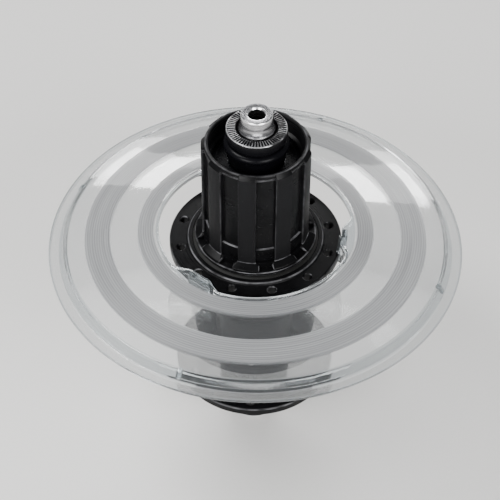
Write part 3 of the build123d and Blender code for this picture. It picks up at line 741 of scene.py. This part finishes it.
def freehub_edge_highlights(shader):
    """Painted highlight lines along the edges of splines, feet, collar and rim, and the satin tops of the
    splines.
    """
    radius, height, angle = shader.axis_millimetres()
    away = shader.from_spacing(angle, FIRST_LOBE, LOBE_PITCH)
    on_lobe = shader.math("SUBTRACT", 1.0, shader.above(away, 9.3, 0.5))
    on_foot = shader.math("SUBTRACT", 1.0, shader.above(away, 10.0, 0.5))
    on_splines = shader.inside(height, FOOT_TOP, 57.6, 0.2)
    crown = shader.above(radius, 16.9, 0.3)
    sides = shader.product(shader.inside(away, 9.0, 9.5, 0.3), on_splines, crown)
    foot_top = shader.product(
        shader.inside(height, 22.62, 22.86, 0.12), shader.above(radius, 17.1, 0.2), on_foot)
    foot_side = shader.product(shader.inside(height, 20.7, 22.6, 0.2), shader.above(radius, 17.9, 0.3),
                               shader.inside(away, 12.4, 13.3, 0.4))
    ledge = shader.product(shader.inside(height, 27.58, 27.80, 0.1), shader.above(away, 9.6, 0.5))
    collar = shader.product(shader.inside(height, 20.22, 20.46, 0.1), shader.above(radius, 19.3, 0.3))
    skirt = shader.product(shader.inside(height, 19.3, 19.6, 0.15), shader.above(radius, 19.6, 0.1))
    ridges = shader.largest(
        shader.inside(height, 56.95, 57.15, 0.1), shader.inside(height, 57.7, 57.9, 0.1))
    ridges = shader.math("MULTIPLY", ridges, shader.above(away, 9.3, 0.5))
    rim = shader.product(shader.above(height, 58.86, 0.1), shader.inside(radius, 15.7, 16.25, 0.15))
    painted_highlight = shader.largest(
        shader.math("MULTIPLY", sides, 0.35), foot_top, shader.math("MULTIPLY", foot_side, 0.5), ledge,
        shader.math("MULTIPLY", collar, 0.8), shader.math("MULTIPLY", skirt, 0.6),
        shader.math("MULTIPLY", ridges, 0.7), shader.math("MULTIPLY", rim, 0.35))
    return painted_highlight, shader.product(on_lobe, on_splines, crown)


def shell_edge_highlights(shader):
    """Painted highlight lines along the boss and both flange rims, and painted glints on the countersinks
    of the spoke holes.
    """
    radius, height, angle = shader.axis_millimetres()
    boss = shader.product(
        shader.inside(radius, 21.95, 22.35, 0.15), shader.inside(height, 18.25, 18.75, 0.1))
    rims = shader.largest(
        shader.product(shader.above(radius, 28.0, 0.15), shader.inside(height, 17.2, 17.6, 0.15)),
        shader.product(shader.above(radius, 27.2, 0.15), shader.inside(height, -39.5, -39.0, 0.15)))
    sinks = []
    levels = (shader.above(height, 17.3, 0.1), shader.inside(height, -39.3, -38.8, 0.1))
    for (circle, first, _), level in zip((DRIVE_HOLES, LEFT_HOLES), levels):
        turn = shader.from_spacing(angle, first, HOLE_PITCH)
        along = shader.math("MULTIPLY", turn, circle * math.pi / 180)
        across = shader.math("SUBTRACT", radius, circle)
        squares = shader.math(
            "ADD", shader.math("MULTIPLY", along, along), shader.math("MULTIPLY", across, across))
        reach = shader.math("SQRT", squares)
        sinks.append(shader.product(shader.inside(reach, 1.32, 1.62, 0.12), level))
    # painted glints on the countersinks, broken up by noise
    uneven = shader.above(shader.noise(420.0, detail=1.0), 0.58, 0.08)
    sinks = shader.math("MULTIPLY", shader.largest(*sinks), uneven)
    painted_highlight = shader.largest(
        shader.math("MULTIPLY", boss, 0.7), shader.math("MULTIPLY", rims, 0.5), sinks)
    return painted_highlight, None


def ground_steel():
    """Ground bearing steel with fine rings and a slightly uneven shine."""
    bright = (0.62, 0.62, 0.64)
    dark = tuple(c * 0.72 for c in bright)
    shader = Shader("ground_steel", bright, 0.20, metallic=1.0)
    marks = shader.turning_marks(0.3 * MM)
    shader.colour(shader.mix(shader.noise(220.0, detail=4.0), dark, bright))
    shader.rough(shader.spread(marks, 0.12, 0.38))
    shader.bump(marks, 0.3, 0.015 * MM)
    return shader.material


def axle_alloy():
    """Turned bare alloy with strong tool rings, smears and a bright lip and bore mouth."""
    shader = Shader("axle_alloy", (0.56, 0.56, 0.57), 0.18, metallic=1.0)
    radius, height, angle = shader.axis_millimetres()
    marks = shader.turning_marks(0.22 * MM)
    smears = shader.noise(1.0, detail=4.0, vector=shader.vector(
        shader.math("MULTIPLY", angle, 0.05), shader.math("MULTIPLY", height, 1.2), radius))
    rings = shader.ramp(marks, (0.30, (0.24, 0.24, 0.25)), (0.70, (0.56, 0.56, 0.57)))
    smear_mask = shader.ramp(smears, (0.40, (0, 0, 0)), (0.62, (0.55, 0.55, 0.55)))
    body = shader.mix(smear_mask, rings, (0.20, 0.20, 0.21))
    at_end = shader.above(shader.math("ABSOLUTE", height), 69.9, 0.1)
    bore_mouth = shader.math("SUBTRACT", 1.0, shader.above(radius, 3.15, 0.1))
    lip = shader.product(at_end, shader.largest(shader.above(radius, 4.8, 0.1), bore_mouth))
    shader.colour(shader.mix(lip, body, (0.93, 0.93, 0.94)))
    shader.rough(shader.spread(marks, 0.14, 0.34))
    shader.bump(marks, 0.35, 0.02 * MM)
    return shader.material


def black_steel():
    """Blackened steel whose rubbed places shine through."""
    shader = Shader("black_oxide_steel", BARE_BLACK, 0.3, metallic=0.0, Specular_IOR_Level=0.08)
    rub = shader.noise(420.0, detail=5.0, roughness=0.65)
    worn = shader.ramp(rub, (0.62, (0, 0, 0)), (0.80, (1, 1, 1)))
    shader.colour(shader.mix(worn, BARE_BLACK, (0.014, 0.014, 0.015)))
    shader.rough(shader.spread(rub, 0.16, 0.40))
    shader.bump(shader.turning_marks(0.2 * MM), 0.2, 0.015 * MM)
    return shader.material


def serrated_steel():
    """Blackened steel whose serration crests are rubbed bright by the dropouts."""
    shader = Shader("serrated_nut_steel", SATIN_BLACK, 0.28, metallic=0.0, Specular_IOR_Level=0.2)
    radius, height, angle = shader.axis_parts()
    full_turn = 2 * math.pi
    around = shader.math("MULTIPLY", shader.math("ADD", angle, full_turn), SERRATIONS / full_turn)
    from_middle = shader.math("SUBTRACT", shader.math("FRACT", around), 0.5)
    tooth = shader.math("MULTIPLY", shader.math("ABSOLUTE", from_middle), 2.0)
    crest = shader.math("LESS_THAN", tooth, 0.21)
    level = shader.math("ABSOLUTE", height)
    on_face = shader.math("GREATER_THAN", level, (NUT_FACE - 0.16) * MM)
    between = shader.math("MULTIPLY", shader.math("GREATER_THAN", radius, 6.8 * MM),
                          shader.math("LESS_THAN", radius, 9.25 * MM))
    patchy_mask = shader.ramp(shader.noise(300.0, detail=4.0), (0.38, (0.05, 0.05, 0.05)), (0.60, (1, 1, 1)))
    edge = shader.math("MULTIPLY", shader.math("GREATER_THAN", radius, 9.28 * MM),
                       shader.math("GREATER_THAN", level, (NUT_FACE - 0.22) * MM))
    bright = shader.math("MULTIPLY", shader.math("MULTIPLY", crest, on_face), between)
    bright = shader.math("MULTIPLY", shader.math("MAXIMUM", bright, edge), patchy_mask)
    shader.colour(shader.mix(bright, (0.004, 0.004, 0.005), (0.66, 0.66, 0.67)))
    shader.link(bright, shader.principled.inputs["Metallic"])
    shader.rough(shader.spread(shader.noise(500.0), 0.2, 0.4))
    shader.bump(shader.turning_marks(0.2 * MM), 0.15, 0.015 * MM)
    return shader.material


def rubber():
    """Matt black seal rubber with a fine grain."""
    shader = Shader("seal_rubber", (0.010, 0.010, 0.010), 0.62, Specular_IOR_Level=0.25)
    grain = shader.noise(1800.0, detail=3.0)
    shader.colour(shader.mix(grain, (0.005, 0.005, 0.005), (0.015, 0.015, 0.014)))
    shader.rough(shader.spread(grain, 0.5, 0.78))
    shader.bump(grain, 0.25, 0.03 * MM)
    return shader.material


def nylon():
    """The cream moulded plastic of the ball cages."""
    shader = Shader("cage_nylon", (0.70, 0.66, 0.54), 0.45)
    grain = shader.noise(900.0, detail=3.0)
    shader.colour(shader.mix(grain, (0.62, 0.57, 0.45), (0.78, 0.74, 0.62)))
    shader.rough(shader.spread(grain, 0.38, 0.6))
    shader.bump(grain, 0.15, 0.02 * MM)
    return shader.material


def clear_plastic():
    """Clear moulded plastic with two frosted bands of fine concentric grooves, painted shade in each groove
    and darker painted shade lines at its step, bead and rim.
    """
    shader = Shader("clear_plastic", (0.93, 0.95, 0.97), 0.06, IOR=1.49, Coat_Weight=0.3)
    shader.set("Transmission Weight", 0.9)
    radius, _, angle = shader.axis_parts()

    def band(inner, outer, soft=0.25):
        """One between the two radii in millimetres, fading over the soft width."""
        rise = shader.node("ShaderNodeMapRange", interpolation_type="SMOOTHSTEP")
        rise.inputs["From Min"].default_value = (inner - soft) * MM
        rise.inputs["From Max"].default_value = (inner + soft) * MM
        shader.link(radius, rise.inputs["Value"])
        fall = shader.node("ShaderNodeMapRange", interpolation_type="SMOOTHSTEP")
        fall.inputs["From Min"].default_value = (outer + soft) * MM
        fall.inputs["From Max"].default_value = (outer - soft) * MM
        shader.link(radius, fall.inputs["Value"])
        return shader.math("MULTIPLY", rise.outputs[0], fall.outputs[0])

    frosted = shader.math("ADD", band(*OUTER_BAND), band(*INNER_BAND))
    # painted shade: darker grey lines at the step, the hole's bead and the outer rim, which are also made
    # more opaque
    edges = shader.math("ADD", band(61.8, 64.4, 0.15), band(26.0, 32.6, 0.15))
    edges = shader.math("ADD", edges, band(67.3, 69.0, 0.1))
    grooves = shader.math("SINE", shader.math("MULTIPLY", radius, 2 * math.pi / (GROOVE_PITCH * MM)))
    ripple = shader.noise(60.0, detail=2.0)
    scuffs = shader.noise(260.0, detail=3.0, roughness=0.5)
    streaks = shader.noise(1.0, detail=3.0, vector=shader.vector(
        shader.math("MULTIPLY", radius, 1 / (0.5 * MM)), 0.0, shader.math("MULTIPLY", angle, 1.2)))
    # painted shade: the frosted colour is darkened inside each groove
    groove_shade = shader.spread(grooves, 0.0, 1.0, lowest=-1.0)
    satin = shader.mix(streaks, (0.17, 0.175, 0.18), (0.52, 0.53, 0.54))
    satin = shader.mix(shader.math("MULTIPLY", groove_shade, 0.40), satin, (0.07, 0.07, 0.075))
    clear_body = shader.mix(edges, (0.88, 0.91, 0.93), (0.58, 0.62, 0.64))
    shader.colour(shader.mix(frosted, clear_body, satin))
    plain_rough = shader.spread(scuffs, 0.03, 0.06)
    shader.rough(shader.math("ADD", plain_rough, shader.math("MULTIPLY", frosted, 0.30)))
    clearness = shader.math("SUBTRACT", 0.95, shader.math("MULTIPLY", frosted, 0.72))
    shader.link(clearness, shader.principled.inputs["Transmission Weight"])
    opacity = shader.math("ADD", 0.56, shader.math("MULTIPLY", frosted, 0.38))
    opacity = shader.math("ADD", opacity, shader.math("MULTIPLY", edges, 0.5))
    shader.link(shader.math("MINIMUM", opacity, 1.0), shader.principled.inputs["Alpha"])
    relief = shader.math(
        "ADD", shader.math("MULTIPLY", grooves, frosted), shader.math("MULTIPLY", ripple, 0.2))
    shader.bump(relief, 0.35, 0.05 * MM)
    return shader.material


def studio_floor():
    """A pale, nearly plain floor."""
    shader = Shader("studio_floor", (0.80, 0.79, 0.77), 0.55)
    grain = shader.noise(900.0, detail=4.0)
    shader.colour(shader.mix(grain, (0.78, 0.77, 0.75), (0.83, 0.82, 0.80)))
    shader.bump(grain, 0.05, 0.05 * MM)
    return shader.material


def paint_all():
    """One material for each slot of the record, given to every node."""
    palette = {
        "shell_black": anodised("shell_anodised", 0.16, 0.08, shell_edge_highlights),
        "freehub_black": anodised("freehub_anodised", 0.16, 0.10, freehub_edge_highlights),
        "silver_alloy": axle_alloy(),
        "bearing_steel": ground_steel(),
        "black_steel": black_steel(),
        "black_rubber": rubber(),
        "cage_plastic": nylon(),
        "clear_plastic": clear_plastic(),
    }
    for entry in frame["record"]["subparts"]:
        for slot in frame["nodes"][entry["node"]].material_slots:
            slot.material = palette[entry["material_slot"]]
    return palette


# ---------------------------------------------------------------- stage, light and camera

def make_stage():
    """The floor, at the height of the object's lowest point."""
    lowest = cad_bounds[0][2]
    bpy.ops.mesh.primitive_plane_add(size=FLOOR_SIZE, location=(0, 0, lowest))
    floor = bpy.context.object
    floor.name = "floor"
    floor.data.materials.append(studio_floor())


def soft_box(name, place, size, power):
    """A rectangular area light that faces the object."""
    light = bpy.data.lights.new(name, "AREA")
    light.shape = "RECTANGLE"
    light.size, light.size_y = size
    light.energy = power
    lamp = bpy.data.objects.new(name, light)
    bpy.context.collection.objects.link(lamp)
    lamp.location = place
    aim = Vector(LIGHT_AIM) - Vector(place)
    lamp.rotation_euler = aim.to_track_quat("-Z", "Y").to_euler()


def make_light():
    """A soft key from the upper left, two boxes either side of the camera, and two strips."""
    soft_box("key_light", (-0.45, 0.05, 0.75), (0.35, 0.35), 6.5)
    soft_box("left_front_box", (-0.36, -0.54, 0.45), (0.40, 0.22), 4.0)
    soft_box("right_front_box", (0.36, -0.54, 0.45), (0.40, 0.22), 4.5)
    soft_box("low_front_strip", (0.05, -0.90, 0.04), (0.90, 0.12), 2.5)
    soft_box("back_strip", (0.10, 0.75, 0.50), (0.8, 0.10), 4.0)
    world = bpy.data.worlds.new("studio")
    world.use_nodes = True
    background = world.node_tree.nodes["Background"]
    background.inputs["Color"].default_value = SKY_COLOUR
    background.inputs["Strength"].default_value = SKY_STRENGTH
    bpy.context.scene.world = world


def make_camera():
    """The camera at the photograph's viewing angle."""
    lens = bpy.data.cameras.new("camera")
    lens.lens = CAMERA_LENS
    lens.sensor_width = 36.0
    lens.shift_x, lens.shift_y = CAMERA_SHIFT
    camera = bpy.data.objects.new("camera", lens)
    bpy.context.collection.objects.link(camera)
    camera.location = CAMERA_PLACE
    look = Vector(CAMERA_AIM) - camera.location
    camera.rotation_euler = look.to_track_quat("-Z", "Y").to_euler()
    camera.rotation_euler.rotate_axis("Z", CAMERA_ROLL)
    bpy.context.scene.camera = camera


palette = paint_all()
make_axle(palette["silver_alloy"])
make_end_caps(palette["black_steel"])
make_locknuts(serrated_steel())
make_hub_shell(palette["shell_black"])
make_freehub(palette["freehub_black"])
make_spoke_protector(palette["clear_plastic"])
make_stage()
make_light()
make_camera()
